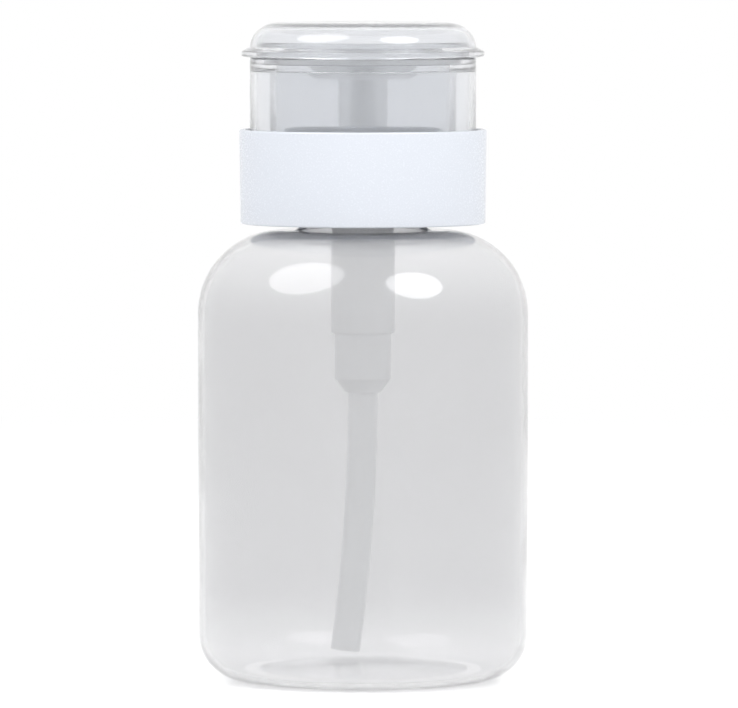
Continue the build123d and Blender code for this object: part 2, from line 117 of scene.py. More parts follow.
class ThreadSizes(bpy.types.PropertyGroup):
    """Sizes of the screw thread on neck and collar."""
    pitch: length("Pitch", "Rise of the thread in one turn, six turns to the inch", 4.23)
    start: length("Start height", "Level where the neck's thread starts", 95.6)
    depth: length("Depth", "How far a thread stands off its wall", 1.2)
    width: length("Width", "Width of a thread at its root", 2.3)
    turns: FloatProperty(name="Turns", description="Turns of each thread", default=1.6, min=0.5, max=3)


class CollarSizes(bpy.types.PropertyGroup):
    """Sizes of the screw collar."""
    wall: length("Wall", "Thickness of the outer wall", 1.2)
    taper: length("Taper", "How much narrower the collar is at its bottom", 0.25)
    web: length("Web", "Thickness of the bottom web", 1.8)
    skirt_inner: length("Skirt inside", "Radius inside the threaded skirt", 14.4)
    skirt_wall: length("Skirt wall", "Thickness of the threaded skirt", 1.6)
    rim_drop: length("Rim drop", "How far the outer rim lies below the deck", 1.35)
    deck: length("Deck", "Thickness of the deck over the neck", 1.2)
    counterbore: length("Counterbore", "Radius of the step that takes the cap's lip", 8.55)
    counterbore_depth: length("Counterbore depth", "Depth of that step", 0.65)
    bore: length("Bore", "Radius of the hole round the cap", 7.55)
    edge: length("Edge", "Round on the collar's edges", 0.4)


class PumpSizes(bpy.types.PropertyGroup):
    """Sizes of the gasket, the barrel and its cap, the tube, the spring and the piston."""
    gasket_clear: length("Gasket clearance", "How far the gasket stays off the collar's thread", 0.2)
    barrel_radius: length("Barrel radius", "Outside of the barrel", 6.35)
    barrel_wall: length("Barrel wall", "Thickness of the barrel", 0.9)
    flange_bottom: length("Flange bottom", "Level of the flange's underside", 108.9)
    flange: length("Flange", "Thickness of the flange", 1.2)
    chamber_radius: length("Chamber radius", "Outside of the ball chamber", 5.6)
    ledge: length("Ledge", "Level that the spring stands on", 70.2)
    seat_bottom: length("Seat bottom", "Level where the ball's cone ends", 63.66)
    throat: length("Throat", "Radius of the bore under the ball", 1.54)
    socket_top: length("Socket top", "Level of the tube's upper end", 62.46)
    tail_radius: length("Tail radius", "Outside of the barrel's tail", 3.52)
    tail_cone: length("Tail cone", "Height of the cone above the tail", 2.8)
    vent_radius: length("Vent radius", "Radius of the air hole", 0.5)
    vent_drop: length("Vent drop", "How far the air hole lies below the flange", 2.0)
    rib_inner: length("Rib inside", "Radius inside the ball's guide ribs", 2.45)
    rib: length("Rib", "Thickness of a guide rib", 0.9)
    hook_reach: length("Hook reach", "Radius that the ribs' hooks reach in to", 1.4)
    hook: length("Hook", "Height of a hook", 1.65)
    cap_body: length("Cap body", "Outside of the cap below its lip", 7.45)
    cap_hole: length("Cap hole", "Radius of the cap's hole", 5.0)
    cap_web: length("Cap web", "Thickness of the cap's top", 0.6)
    tube_radius: length("Tube radius", "Outside of the dip tube", 2.9)
    tube_wall: length("Tube wall", "Thickness of the dip tube", 0.7)
    tube_lean: length("Tube lean", "How far the tube's foot hangs off the axis", 3.6)
    wire_radius: length("Wire radius", "Radius of the spring's wire", 0.45)
    end_pitch: length("End pitch", "Rise of the spring's end turns", 1.4)
    active_turns: IntProperty(name="Turns", description="Open turns of the spring", default=6, min=3, max=12)
    piston_hub: length("Piston hub", "Thickness of the piston's hub", 1.0)
    piston_lip: length("Piston lip", "Thickness of the piston's lip", 0.35)
    lip_depth: length("Lip depth", "Height of the piston's lip", 1.6)
    stem_bore: length("Stem bore", "Radius of the bore up the stem", 1.5)
    nose_radius: length("Nose radius", "Radius of the retainer inside the spring", 3.6)
    nose: length("Nose", "Length of the retainer below its flange", 4.6)
    spigot: length("Spigot", "Length of the retainer inside the stem", 3.6)


class HeadSizes(bpy.types.PropertyGroup):
    """Sizes of the dish, the button, the press sleeve and the lid."""
    plate: length("Plate", "Thickness of the dish and of the sleeve's shelf", 1.2)
    dish_depth: length("Dish depth", "Depth of the dish below its rim", 2.5)
    floor_radius: length("Floor radius", "Radius of the dish's flat floor", 9.8)
    rise: length("Rise", "Width of the slope from floor to rim", 3.2)
    bend: length("Bend", "Radius of the dish's bends", 2.4)
    boss_radius: length("Boss radius", "Outside of the boss under the dish", 4.9)
    ball_chamber: length("Ball chamber", "Radius of the upper ball's chamber", 2.3)
    button_wall: length("Button wall", "Thickness of the button's side", 1.0)
    button_crown: length("Button crown", "Thickness of the button's top", 0.9)
    slot: length("Slot", "Width of an outlet slot", 0.9)
    slots: IntProperty(name="Slots", description="Outlet slots round the button", default=6, min=3, max=12)
    sleeve_wall: length("Sleeve wall", "Thickness of the press sleeve", 1.2)
    ring_inner: length("Ring inside", "Radius inside the guide ring", 17.4)
    ring_wall: length("Ring wall", "Thickness of the guide ring", 1.2)
    ring_rise: length("Ring rise", "How far the guide ring ends above the sleeve", 1.8)
    lid_seat: length("Lid seat", "Level that the closed lid rests on", 124.2)
    spigot_outer: length("Spigot radius", "Outside of the spigot inside the lid", 21.2)
    spigot_round: length("Spigot round", "Round on the spigot's rim", 0.55)
    hinge_y: length("Hinge place", "Distance of the hinge's axis behind the bottle's axis", 25.0)
    hinge_z: length("Hinge height", "Level of the hinge's axis", 124.6)
    pin_radius: length("Pin radius", "Radius of the lid's pivots", 1.0)
    knuckle_radius: length("Knuckle radius", "Radius of the lid's knuckle", 1.7)
    knuckle_half: length("Knuckle half", "Half the knuckle's length", 4.1)
    ear: length("Ear", "Thickness of a hinge ear", 1.4)
    ear_gap: length("Ear gap", "Gap between knuckle and ear", 0.3)
    ear_radius: length("Ear radius", "Radius of an ear round its pivot", 2.0)
    lid_wall: length("Lid wall", "Thickness of the lid", 1.2)
    lid_radius: length("Lid radius", "Outside of the lid above its lip", 22.55)
    lid_crown: length("Lid crown", "How far the lid's top is crowned", 0.5)
    lid_corner: length("Lid corner", "Round between the lid's top and side", 5.5)
    lid_corner_inside: length("Lid corner inside", "The same round inside the lid", 3.7)
    lip_tip: length("Lip tip", "Thickness of the lip's edge", 1.0)
    lip_root: length("Lip root", "Height of the lip where it leaves the lid", 2.2)


class Colours(bpy.types.PropertyGroup):
    """Colours of the finishes, as the photograph shows them."""
    bottle: colour("Bottle", "Blown polypropylene, natural and frosted", "#F0F0F1")
    # Partly painted light: whiter than the bottle for the thicker wall, and also lighter to lift the shade at
    # the foot and under the collar
    thick_wall_and_painted_light: colour("Neck and foot", "The bottle's polypropylene where it is thickest", "#FCFCFD")
    collar: colour("Collar", "Moulded polypropylene, milky", "#E9EDF4")
    sleeve: colour("Sleeve", "Clear polypropylene of the press sleeve", "#FCFDFF")
    lid: colour("Lid", "Clear polypropylene of the flip lid", "#FBFCFE")
    natural: colour("Natural parts", "Natural polyethylene of the pump", "#F8F9FA")
    seal: colour("Seals", "Soft polyethylene of gasket and piston", "#F4F4F1")
    spring: colour("Spring", "Stainless spring wire", "#B9BBBD")
    ball: colour("Balls", "Polished stainless steel", "#A9ACB0")


class StageSizes(bpy.types.PropertyGroup):
    """Sizes of the camera and the two softboxes."""
    distance: length("Camera distance", "From the bottle's axis to the lens", 1500)
    height: length("Camera height", "Level of the lens", 150)
    aim_height: length("Aim height", "Level that the middle of the picture shows", 65.06)
    aim_side: length("Aim side", "How far right of the axis the camera aims", 1.2)
    picture_scale: FloatProperty(name="Picture scale", description="Pixels of the picture to a millimetre",
                                 default=5.0, min=1, max=20)
    box_distance: length("Softbox distance", "From the shoulder to each softbox", 2000)
    box_power: FloatProperty(name="Softbox power", description="Power of each softbox", default=16.2,
                             min=1, max=100)


def in_mm(name):
    """The sizes of one of the scene's property groups, its lengths in millimetres."""
    group = getattr(bpy.context.scene, "dispenser_" + name)
    sizes = {}
    for prop in group.bl_rna.properties:
        if prop.type in ("FLOAT", "INT"):
            value = getattr(group, prop.identifier)
            sizes[prop.identifier] = value / MM if getattr(prop, "unit", "") == "LENGTH" else value
    return SimpleNamespace(**sizes)


def node_box(node):
    """Lowest and highest corner of a CAD node, in millimetres."""
    low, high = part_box(node)
    return low / MM, high / MM


def select_only(*pieces):
    """Selects these pieces and nothing else, with the first one active."""
    bpy.ops.object.select_all(action="DESELECT")
    for piece in pieces:
        piece.select_set(True)
    bpy.context.view_layer.objects.active = pieces[0]


def pick(test):
    """In edit mode, selects the points for which test says yes, and nothing else."""
    mesh = bmesh.from_edit_mesh(bpy.context.object.data)
    bpy.ops.mesh.select_all(action="DESELECT")
    for vertex in mesh.verts:
        if test(vertex.co):
            vertex.select = True
    mesh.select_flush(True)
    bmesh.update_edit_mesh(bpy.context.object.data)


def close_skin(merge=False):
    """Ends edit mode with all faces outwards, and first merges the points that are one."""
    bpy.ops.mesh.select_all(action="SELECT")
    if merge:
        bpy.ops.mesh.remove_doubles(threshold=MERGE)
    bpy.ops.mesh.normals_make_consistent(inside=False)
    bpy.ops.object.mode_set(mode="OBJECT")


def named(name):
    """Names the new active object and its data, and gives it back."""
    piece = bpy.context.object
    piece.name = piece.data.name = name
    return piece


def pull(way):
    """In edit mode, extrudes what is selected along a vector."""
    bpy.ops.mesh.extrude_region_move(TRANSFORM_OT_translate={"value": way})


def draw(name, outline, closed=True):
    """Draws a wire outline in the XZ plane and stays in edit mode, with all of it selected. A
    point is a radius, a height and, if wanted, a round."""
    bpy.ops.mesh.primitive_plane_add(size=1)
    piece = named(name)
    bpy.ops.object.mode_set(mode="EDIT")
    bpy.ops.mesh.select_mode(type="VERT")
    bpy.ops.mesh.merge(type="CENTER")
    bpy.ops.transform.translate(value=(outline[0][0], 0, outline[0][1]))
    for near, far in zip(outline, outline[1:]):
        pull((far[0] - near[0], 0, far[1] - near[1]))
    if closed:
        ends = [Vector((point[0], 0, point[1])) for point in (outline[0], outline[-1])]
        pick(lambda place: min((place - end).length for end in ends) < NEAR)
        bpy.ops.mesh.edge_face_add()
    count = len(outline)
    for at, point in enumerate(outline):
        if len(point) > 2 and point[2] > 0:
            here = Vector(point[:2])
            before = (Vector(outline[at - 1][:2]) - here).normalized()
            after = (Vector(outline[(at + 1) % count][:2]) - here).normalized()
            turn = pi - before.angle(after)
            # A step to 25 degrees on the smallest round, and more of them on a larger one
            steps = max(3, round(degrees(turn) / 30 * (1.2 + point[2] ** 0.6)))
            corner = Vector((point[0], 0, point[1]))
            pick(lambda place: (place - corner).length < NEAR)
            bpy.ops.mesh.bevel(offset=point[2] * tan(turn / 2), segments=steps, affect="VERTICES",
                               clamp_overlap=False)
    bpy.ops.mesh.select_all(action="SELECT")
    return piece


def lathe(name, outline, closed=True, rings=RINGS):
    """Spins an outline round the bottle's axis into a closed skin that faces outwards."""
    piece = draw(name, outline, closed)
    bpy.ops.mesh.spin(steps=rings, angle=tau, center=(0, 0, 0), axis=(0, 0, 1))
    close_skin(merge=True)
    return piece


def plate(name, outline, thickness):
    """Fills an outline and pulls it out to both sides of the XZ plane."""
    piece = draw(name, outline)
    bpy.ops.mesh.edge_face_add()
    bpy.ops.transform.translate(value=(0, -thickness / 2, 0))
    pull((0, thickness, 0))
    close_skin()
    return piece


def coil(name, section, climbs, steps, shifts=None):
    """Winds a closed section up round the axis, with steps to a turn. climbs has the rise of
    each step, and shifts the way that the section moves outwards in it."""
    piece = draw(name, section)
    angle = 0.0
    for climb, shift in zip(climbs, shifts or [0.0] * len(climbs)):
        pull((shift * cos(angle), shift * sin(angle), climb))
        bpy.ops.transform.rotate(value=-tau / steps, orient_axis="Z", center_override=(0, 0, 0))
        angle += tau / steps
    bpy.ops.mesh.select_all(action="SELECT")
    bpy.ops.mesh.fill_holes(sides=0)
    close_skin()
    return piece


def turn_about_axis(piece, angle, slide=0.0):
    """Turns a piece's mesh round the bottle's axis and slides it along X."""
    select_only(piece)
    bpy.ops.object.mode_set(mode="EDIT")
    bpy.ops.mesh.select_all(action="SELECT")
    bpy.ops.transform.rotate(value=-angle, orient_axis="Z", center_override=(0, 0, 0))
    bpy.ops.transform.translate(value=(slide, 0, 0))
    bpy.ops.object.mode_set(mode="OBJECT")


def join(*pieces):
    """Joins the other pieces into the first."""
    select_only(*pieces)
    bpy.ops.object.join()


def carve(piece, tool, operation="DIFFERENCE"):
    """Cuts a tool from a piece, or fuses it on, and removes the tool."""
    select_only(piece)
    cut = piece.modifiers.new("cut", "BOOLEAN")
    cut.operation = operation
    cut.solver = "EXACT"
    cut.object = tool
    bpy.ops.object.modifier_apply(modifier=cut.name)
    bpy.data.objects.remove(tool)


def box_tool(low, high):
    """A plain box to cut with, between two corners."""
    middle = [(a + b) / 2 for a, b in zip(low, high)]
    bpy.ops.mesh.primitive_cube_add(size=1, location=middle, scale=[b - a for a, b in zip(low, high)])
    bpy.ops.object.transform_apply()
    return bpy.context.object


def rod(name, radius, start, end, place_y, place_z, edge=0.0):
    """A rod along X, round an axis at the given place, with its end edges rounded."""
    bpy.ops.mesh.primitive_cylinder_add(vertices=SMALL_RINGS, radius=radius, depth=end - start,
                                        location=((start + end) / 2, place_y, place_z),
                                        rotation=(0, QUARTER, 0))
    bpy.ops.object.transform_apply()
    piece = named(name)
    if edge:
        bpy.ops.object.mode_set(mode="EDIT")
        for face in (start, end):
            pick(lambda place: abs(place.x - face) < NEAR)
            bpy.ops.mesh.bevel(offset=edge, segments=3, affect="EDGES")
        bpy.ops.object.mode_set(mode="OBJECT")
    return piece


def finish_piece(piece, node, body, material):
    """Brings a piece down to metres, smooths it and puts it in the CAD node's place."""
    select_only(piece)
    piece.scale = (MM, MM, MM)
    bpy.ops.object.transform_apply()
    bpy.ops.object.shade_smooth_by_angle(angle=SHARP)
    piece.data.materials.clear()
    piece.data.materials.append(material)
    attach(piece, body)
    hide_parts(node)


def add_node(tree, kind, inputs=None, **settings):
    """Adds one node to a tree. An input is a plain value, or the socket that links into it, or
    a node, which stands for its first output."""
    node = tree.nodes.new("ShaderNode" + kind)
    for key, value in settings.items():
        setattr(node, key, value)
    for name, source in (inputs or {}).items():
        if isinstance(source, bpy.types.Node):
            source = source.outputs[0]
        if isinstance(source, bpy.types.NodeSocket):
            tree.links.new(source, node.inputs[name])
        else:
            node.inputs[name].default_value = source
    return node


def chosen(name):
    """One of the scene's colours, as linear red, green, blue and alpha."""
    return (*getattr(bpy.context.scene.dispenser_colours, name), 1.0)


def new_tree(store, name):
    """A new material or world of that name, its node tree emptied, and add_node for that tree."""
    owner = store.new(name)
    owner.use_nodes = True
    owner.node_tree.nodes.clear()
    return owner, partial(add_node, owner.node_tree)


def moulded(name, tint, cloud, optics, roughness, grain, wave, wave_height, ends=None):
    """A moulded or blown plastic: its colour clouds a little where the wall is thicker, its
    skin has a fine tool grain, and slow waves in the wall bend the highlights. tint names its
    colour and cloud is the darkest share of it. grain, wave and wave_height are in
    millimetres, and optics are the plain values of the shader's own sockets. ends names the
    colour that the plastic turns to, and has the levels between which it does so at the foot
    and at the neck."""
    cloud_size, grain_height = 14 * MM, 0.004 * MM
    material, add = new_tree(bpy.data.materials, name)
    place = add("TexCoord").outputs["Object"]
    flow = add("TexNoise", {"Vector": place, "Scale": 1 / cloud_size, "Detail": 3.0, "Roughness": 0.5})
    lightest = chosen(tint)
    darkest = (*(channel * cloud for channel in lightest[:3]), 1.0)
    hue = add("Mix", {"Factor": flow, "A": darkest, "B": lightest}, data_type="RGBA").outputs["Result"]
    # For the bottle, ends is partly painted light: the colour turns lighter at the foot and the neck to lift
    # the shade there, as well as for the thicker wall
    if ends:
        height = add("SeparateXYZ", {"Vector": place}).outputs["Z"]
        spans = [{"Value": height, "From Min": start * MM, "From Max": stop * MM} for start, stop in ends[1:]]
        foot, neck = [add("MapRange", span, interpolation_type="SMOOTHSTEP") for span in spans]
        foot = add("Math", {0: 1.0, 1: foot}, operation="SUBTRACT")
        share = add("Math", {0: foot, 1: neck}, operation="MAXIMUM")
        hue = add("Mix", {"Factor": share, "A": hue, "B": chosen(ends[0])},
                  data_type="RGBA").outputs["Result"]
    skin = add("TexNoise", {"Vector": place, "Scale": 1 / (grain * MM), "Detail": 2.0})
    dull = add("MapRange", {"Value": skin, "From Min": 0.3, "From Max": 0.7,
                            "To Min": roughness[0], "To Max": roughness[1]})
    slow = add("TexNoise", {"Vector": place, "Scale": 1 / (wave * MM), "Detail": 1.0})
    waves = add("Bump", {"Height": slow, "Strength": 1.0, "Distance": wave_height * MM})
    grained = add("Bump", {"Height": skin, "Normal": waves, "Strength": 0.35, "Distance": grain_height})
    shader = add("BsdfPrincipled", {"Base Color": hue, "Roughness": dull, "Normal": grained, **optics})
    add("OutputMaterial", {"Surface": shader})
    return material


def blown_polypropylene():
    """Natural polypropylene, extrusion blown: light passes through it softly blurred, a little
    of it is lost in the milky wall, the skin is glossy, and waves of a centimetre or two bend
    the highlights where the wall's thickness drifts. Near the neck and in the foot the wall is
    thick and whiter, and the colour there is also painted lighter: painted light that lifts
    the shade at the foot and under the collar."""
    optics = {"IOR": 1.49, "Specular IOR Level": 1.0, "Transmission Weight": 0.85}
    # Levels in mm over which the bottle turns to the lighter colour: partly the thicker wall, partly painted
    # light on the shade at the foot and under the collar
    foot, neck = (3, 20), (70, 90)
    return moulded("frosted blown polypropylene", "bottle", 0.985, optics, (0.05, 0.09), 0.35, 16, 0.12,
                   ("thick_wall_and_painted_light", foot, neck))


def milky_polypropylene():
    """Injection-moulded polypropylene of the collar: white and dense, and only what is close
    behind its wall shows through a little."""
    optics = {"IOR": 1.49, "Specular IOR Level": 0.6, "Alpha": 0.88}
    return moulded("milky moulded polypropylene", "collar", 0.985, optics, (0.2, 0.3), 0.3, 20, 0.05)


def clear_polypropylene(name, tint):
    """Clarified polypropylene of sleeve and lid: clear with a faint haze, and bright and dark
    lines where the light bends in its edges."""
    optics = {"IOR": 1.49, "Specular IOR Level": 1.0, "Transmission Weight": 0.9}
    return moulded(name, tint, 0.99, optics, (0.05, 0.09), 0.3, 18, 0.04)


def natural_polyethylene():
    """Natural high-density polyethylene of the pump's pieces: waxy and white."""
    optics = {"IOR": 1.54, "Specular IOR Level": 0.5}
    return moulded("natural moulded polyethylene", "natural", 0.99, optics, (0.32, 0.42), 0.25, 12, 0.03)


def thin_polyethylene():
    """The same polyethylene in the thin walls of dish, button and stem: light from the lid
    passes through, and what is behind shows a little."""
    optics = {"IOR": 1.54, "Specular IOR Level": 0.5, "Alpha": 0.4}
    return moulded("natural thin polyethylene", "natural", 0.99, optics, (0.3, 0.4), 0.25, 12, 0.03)


def soft_polyethylene():
    """Soft polyethylene of the gasket and the piston: opaque, waxy and a little dull."""
    optics = {"IOR": 1.5, "Specular IOR Level": 0.5}
    return moulded("soft sealing polyethylene", "seal", 0.95, optics, (0.45, 0.6), 0.25, 10, 0.02)


def steel(name, tint, size, detail, roughness, squeeze=None, relief=0.0):
    """Stainless steel with a pattern of that size in millimetres, which runs its roughness
    between two values. squeeze shrinks the pattern along the axes, and relief is its height."""
    material, add = new_tree(bpy.data.materials, name)
    place = add("TexCoord").outputs["Object"]
    if squeeze:
        place = add("Mapping", {"Vector": place, "Scale": squeeze})
    lines = add("TexNoise", {"Vector": place, "Scale": 1 / (size * MM), "Detail": detail})
    dull = add("MapRange", {"Value": lines, "To Min": roughness[0], "To Max": roughness[1]})
    skin = {"Base Color": chosen(tint), "Metallic": 1.0, "Roughness": dull}
    if relief:
        skin["Normal"] = add("Bump", {"Height": lines, "Strength": 0.4, "Distance": relief * MM})
    add("OutputMaterial", {"Surface": add("BsdfPrincipled", skin)})
    return material


def drawn_steel():
    """Stainless spring wire: bright, with fine lines along the wire from the drawing die. The
    real lines are a few microns apart, drawn here as coarse as 0.06 mm so that they show."""
    return steel("drawn stainless spring wire", "spring", 0.4, 4.0, (0.22, 0.4), (1, 1, 6), 0.01)


def polished_steel():
    """Stainless steel of the two valve balls, ground and tumbled to a soft polish."""
    return steel("tumbled stainless steel", "ball", 0.3, 3.0, (0.12, 0.26))


def seen_plainly(add):
    """Two outputs: 1 for the rays that see the background as such, which come from the
    camera, off a glossy skin or through clear plastic, and 1 for the last kind alone."""
    path = add("LightPath").outputs
    seen, through = path["Is Camera Ray"], path["Is Transmission Ray"]
    for ray in (path["Is Glossy Ray"], through):
        seen = add("Math", {0: seen, 1: ray}, operation="MAXIMUM")
    return seen, through


def white_floor():
    """White glossy laminate that keeps the object's soft shadow and a faint mirror image of
    its foot. Further off, and seen through the plastic, it is plain white."""
    white, laminate = tone("#FFFFFF"), tone("#F4F4F4")
    speck_size = 60 * MM
    near_glow = 0.28  # brings the laminate up to the far white
    far_light = 0.75  # what the far floor throws on the object
    near_end, far_start = 0.2, 0.8  # metres from the bottle
    material, add = new_tree(bpy.data.materials, "white laminate floor")
    seen, through = seen_plainly(add)
    lifted = add("Math", {0: seen, 1: near_glow}, operation="MULTIPLY")
    place = add("TexCoord").outputs["Object"]
    speck = add("TexNoise", {"Vector": place, "Scale": 1 / speck_size, "Detail": 2.0})
    dull = add("MapRange", {"Value": speck, "To Min": 0.1, "To Max": 0.16})
    sheet = add("BsdfPrincipled", {"Base Color": laminate, "Specular IOR Level": 0.5, "Roughness": dull})
    glow = add("Emission", {"Color": white, "Strength": lifted})
    near = add("AddShader", {0: sheet, 1: glow})
    level = add("MapRange", {"Value": seen, "To Min": far_light, "To Max": 1.0})
    far = add("Emission", {"Color": white, "Strength": level})
    spread = add("VectorMath", {0: place}, operation="LENGTH").outputs["Value"]
    share = add("MapRange", {"Value": spread, "From Min": near_end, "From Max": far_start},
                interpolation_type="SMOOTHSTEP")
    share = add("Math", {0: share, 1: through}, operation="MAXIMUM")
    both = add("MixShader", {0: share, 1: near, 2: far})
    add("OutputMaterial", {"Surface": both})
    return material


def white_world():
    """White to the eye and through the plastic. On the object it is a plain soft light, a
    little stronger from above."""
    from_below, from_above = 0.64, 0.88
    world, add = new_tree(bpy.data.worlds, "white studio")
    seen = seen_plainly(add)[0]
    way = add("TexCoord").outputs["Generated"]
    height = add("SeparateXYZ", {"Vector": way}).outputs["Z"]
    level = add("MapRange", {"Value": height, "From Min": -0.1, "From Max": 1.0,
                             "To Min": from_below, "To Max": from_above})
    soft = add("Background", {"Color": tone("#F8F9FB"), "Strength": level})
    plain = add("Background", {"Color": tone("#FFFFFF"), "Strength": 1.0})
    mixed = add("MixShader", {0: seen, 1: soft, 2: plain})
    add("OutputWorld", {"Surface": mixed})
    bpy.context.scene.world = world


def shallow_arc(radius, middle, edge, shares):
    """Points of a shallow crown from the axis outwards, its height changing with the square of
    the radius. shares are the radii, as shares of the whole."""
    return [(radius * share, middle + (edge - middle) * share**2) for share in shares]


def thread(name, root, crest, sizes, level, steps=48):
    """A screw thread, its root sunk a little into the wall that carries it. It rises out of
    the wall over an eighth of a turn at each end."""
    count = round(sizes.turns * steps)
    run_out = steps // 8
    side = 1 if crest > root else -1
    sink, spare, edge = 0.3, 0.2, 0.18  # mm: root in the wall, crest in it at the ends, round
    height = abs(crest - root) + spare
    sunk = root - side * sink
    half, flat = sizes.width / 2, sizes.width / 5
    shifts = [0.0] * count
    for at in range(run_out):
        shifts[at] = side * height / run_out
        shifts[count - 1 - at] = -side * height / run_out
    points = ((sunk, -half), (root, -half), (crest, -flat, edge),
              (crest, flat, edge), (root, half), (sunk, half))
    section = [(radius - side * height, level + rise, *rounding) for radius, rise, *rounding in points]
    return coil(name, section, [sizes.pitch / steps] * count, steps, shifts)


def round_hinge(s, radius):
    """The front, back, lower and upper side of a square round the hinge's axis."""
    return s.hinge_y - radius, s.hinge_y + radius, s.hinge_z - radius, s.hinge_z + radius


class DISPENSER_OT_bottle(bpy.types.Operator):
    """Models the blown bottle with its round shoulder, pushed-up base and threaded neck"""
    bl_idname = "dispenser.bottle"
    bl_label = "Bottle"

    def execute(self, context):
        s = in_mm("bottle")
        screw = in_mm("thread")
        high = node_box("bottle")[1]
        radius, top = high.x, high.z
        inner = radius - s.wall
        bore = s.neck_radius - s.neck_wall
        outside = shallow_arc(s.foot_inner, s.push_up, 0, (0, 0.25, 0.5, 0.75, 0.9))
        inside = [(point[0], point[1] + s.wall) for point in outside]
        piece = lathe("bottle_blown", [
            *outside,
            (s.foot_inner, 0, 0.5), (radius, 0, s.base_corner),
            (radius, s.shoulder_height, s.shoulder_corner),
            (s.neck_radius, s.shoulder_height, s.neck_fillet), (s.neck_radius, top, s.rim_round),
            (bore, top, s.rim_round), (bore, s.shoulder_height - s.wall, s.neck_fillet + s.wall),
            (inner, s.shoulder_height - s.wall, s.shoulder_corner - s.wall),
            (inner, s.wall, s.base_corner - s.wall), (s.foot_inner, s.wall, 0.5),
            *reversed(inside),
        ], closed=False, rings=BOTTLE_RINGS)
        join(piece, thread("neck_thread", s.neck_radius, s.neck_radius + screw.depth, screw, screw.start))
        finish_piece(piece, "bottle", "bottle", blown_polypropylene())
        return {"FINISHED"}


class DISPENSER_OT_collar(bpy.types.Operator):
    """Models the screw collar with its channel, deck and threaded skirt"""
    bl_idname = "dispenser.collar"
    bl_label = "Screw collar"

    def execute(self, context):
        s = in_mm("collar")
        screw = in_mm("thread")
        low, high = node_box("screw_collar")
        outer = high.x
        rim = high.z - s.rim_drop
        web_top = low.z + s.web
        skirt_outer = s.skirt_inner + s.skirt_wall
        step = high.z - s.counterbore_depth
        deck_bottom = high.z - s.deck
        piece = lathe("collar_moulded", [
            (s.skirt_inner, low.z, 0.2), (outer - s.taper, low.z, s.edge), (outer, rim, s.edge),
            (outer - s.wall, rim, 0.3), (outer - s.wall - s.taper, web_top, 0.5),
            (skirt_outer, web_top, 0.5), (skirt_outer, high.z, s.edge),
            (s.counterbore, high.z, 0.12), (s.counterbore, step), (s.bore, step, 0.12),
            (s.bore, deck_bottom), (s.skirt_inner, deck_bottom, 0.3),
        ])
        crest = s.skirt_inner - screw.depth
        join(piece, thread("skirt_thread", s.skirt_inner, crest, screw, screw.start + screw.pitch / 2))
        finish_piece(piece, "screw_collar", "collar", milky_polypropylene())
        return {"FINISHED"}


class DISPENSER_OT_seals(bpy.types.Operator):
    """Models the neck gasket and the piston with its feathered lips"""
    bl_idname = "dispenser.seals"
    bl_label = "Gasket and piston"

    def execute(self, context):
        s = in_mm("pump")
        rubbery = soft_polyethylene()
        low, high = node_box("neck_gasket")
        barrel_play = 0.1
        inner = s.barrel_radius + barrel_play
        outer = high.x - s.gasket_clear
        gasket = lathe("gasket_ring", [
            (inner, low.z, 0.1), (outer, low.z, 0.15), (outer, high.z, 0.15), (inner, high.z, 0.1),
        ])
        finish_piece(gasket, "neck_gasket", "gasket", rubbery)
        low, high = node_box("piston")
        stem_wall, waist_depth, lip_edge = 1.15, 0.5, 0.7
        inner = s.stem_bore + stem_wall
        hub = inner + s.piston_hub
        waist = high.x - waist_depth
        lip = low.z + s.piston_lip
        piston = lathe("piston_seal", [
            (inner, low.z, 0.1), (hub, low.z, 0.1),
            ((hub + waist) / 2, lip + s.lip_depth, 0.3), (high.x - s.piston_lip, lip, 0.08),
            (high.x, lip, 0.12), (high.x, lip + lip_edge, 0.2),
            (waist, lip + s.lip_depth, 0.3), (waist, high.z - s.lip_depth, 0.3),
            (high.x, high.z - lip_edge, 0.2), (high.x, high.z, 0.12),
            (inner, high.z, 0.1),
        ], rings=PUMP_RINGS)
        finish_piece(piston, "piston", "piston", rubbery)
        return {"FINISHED"}


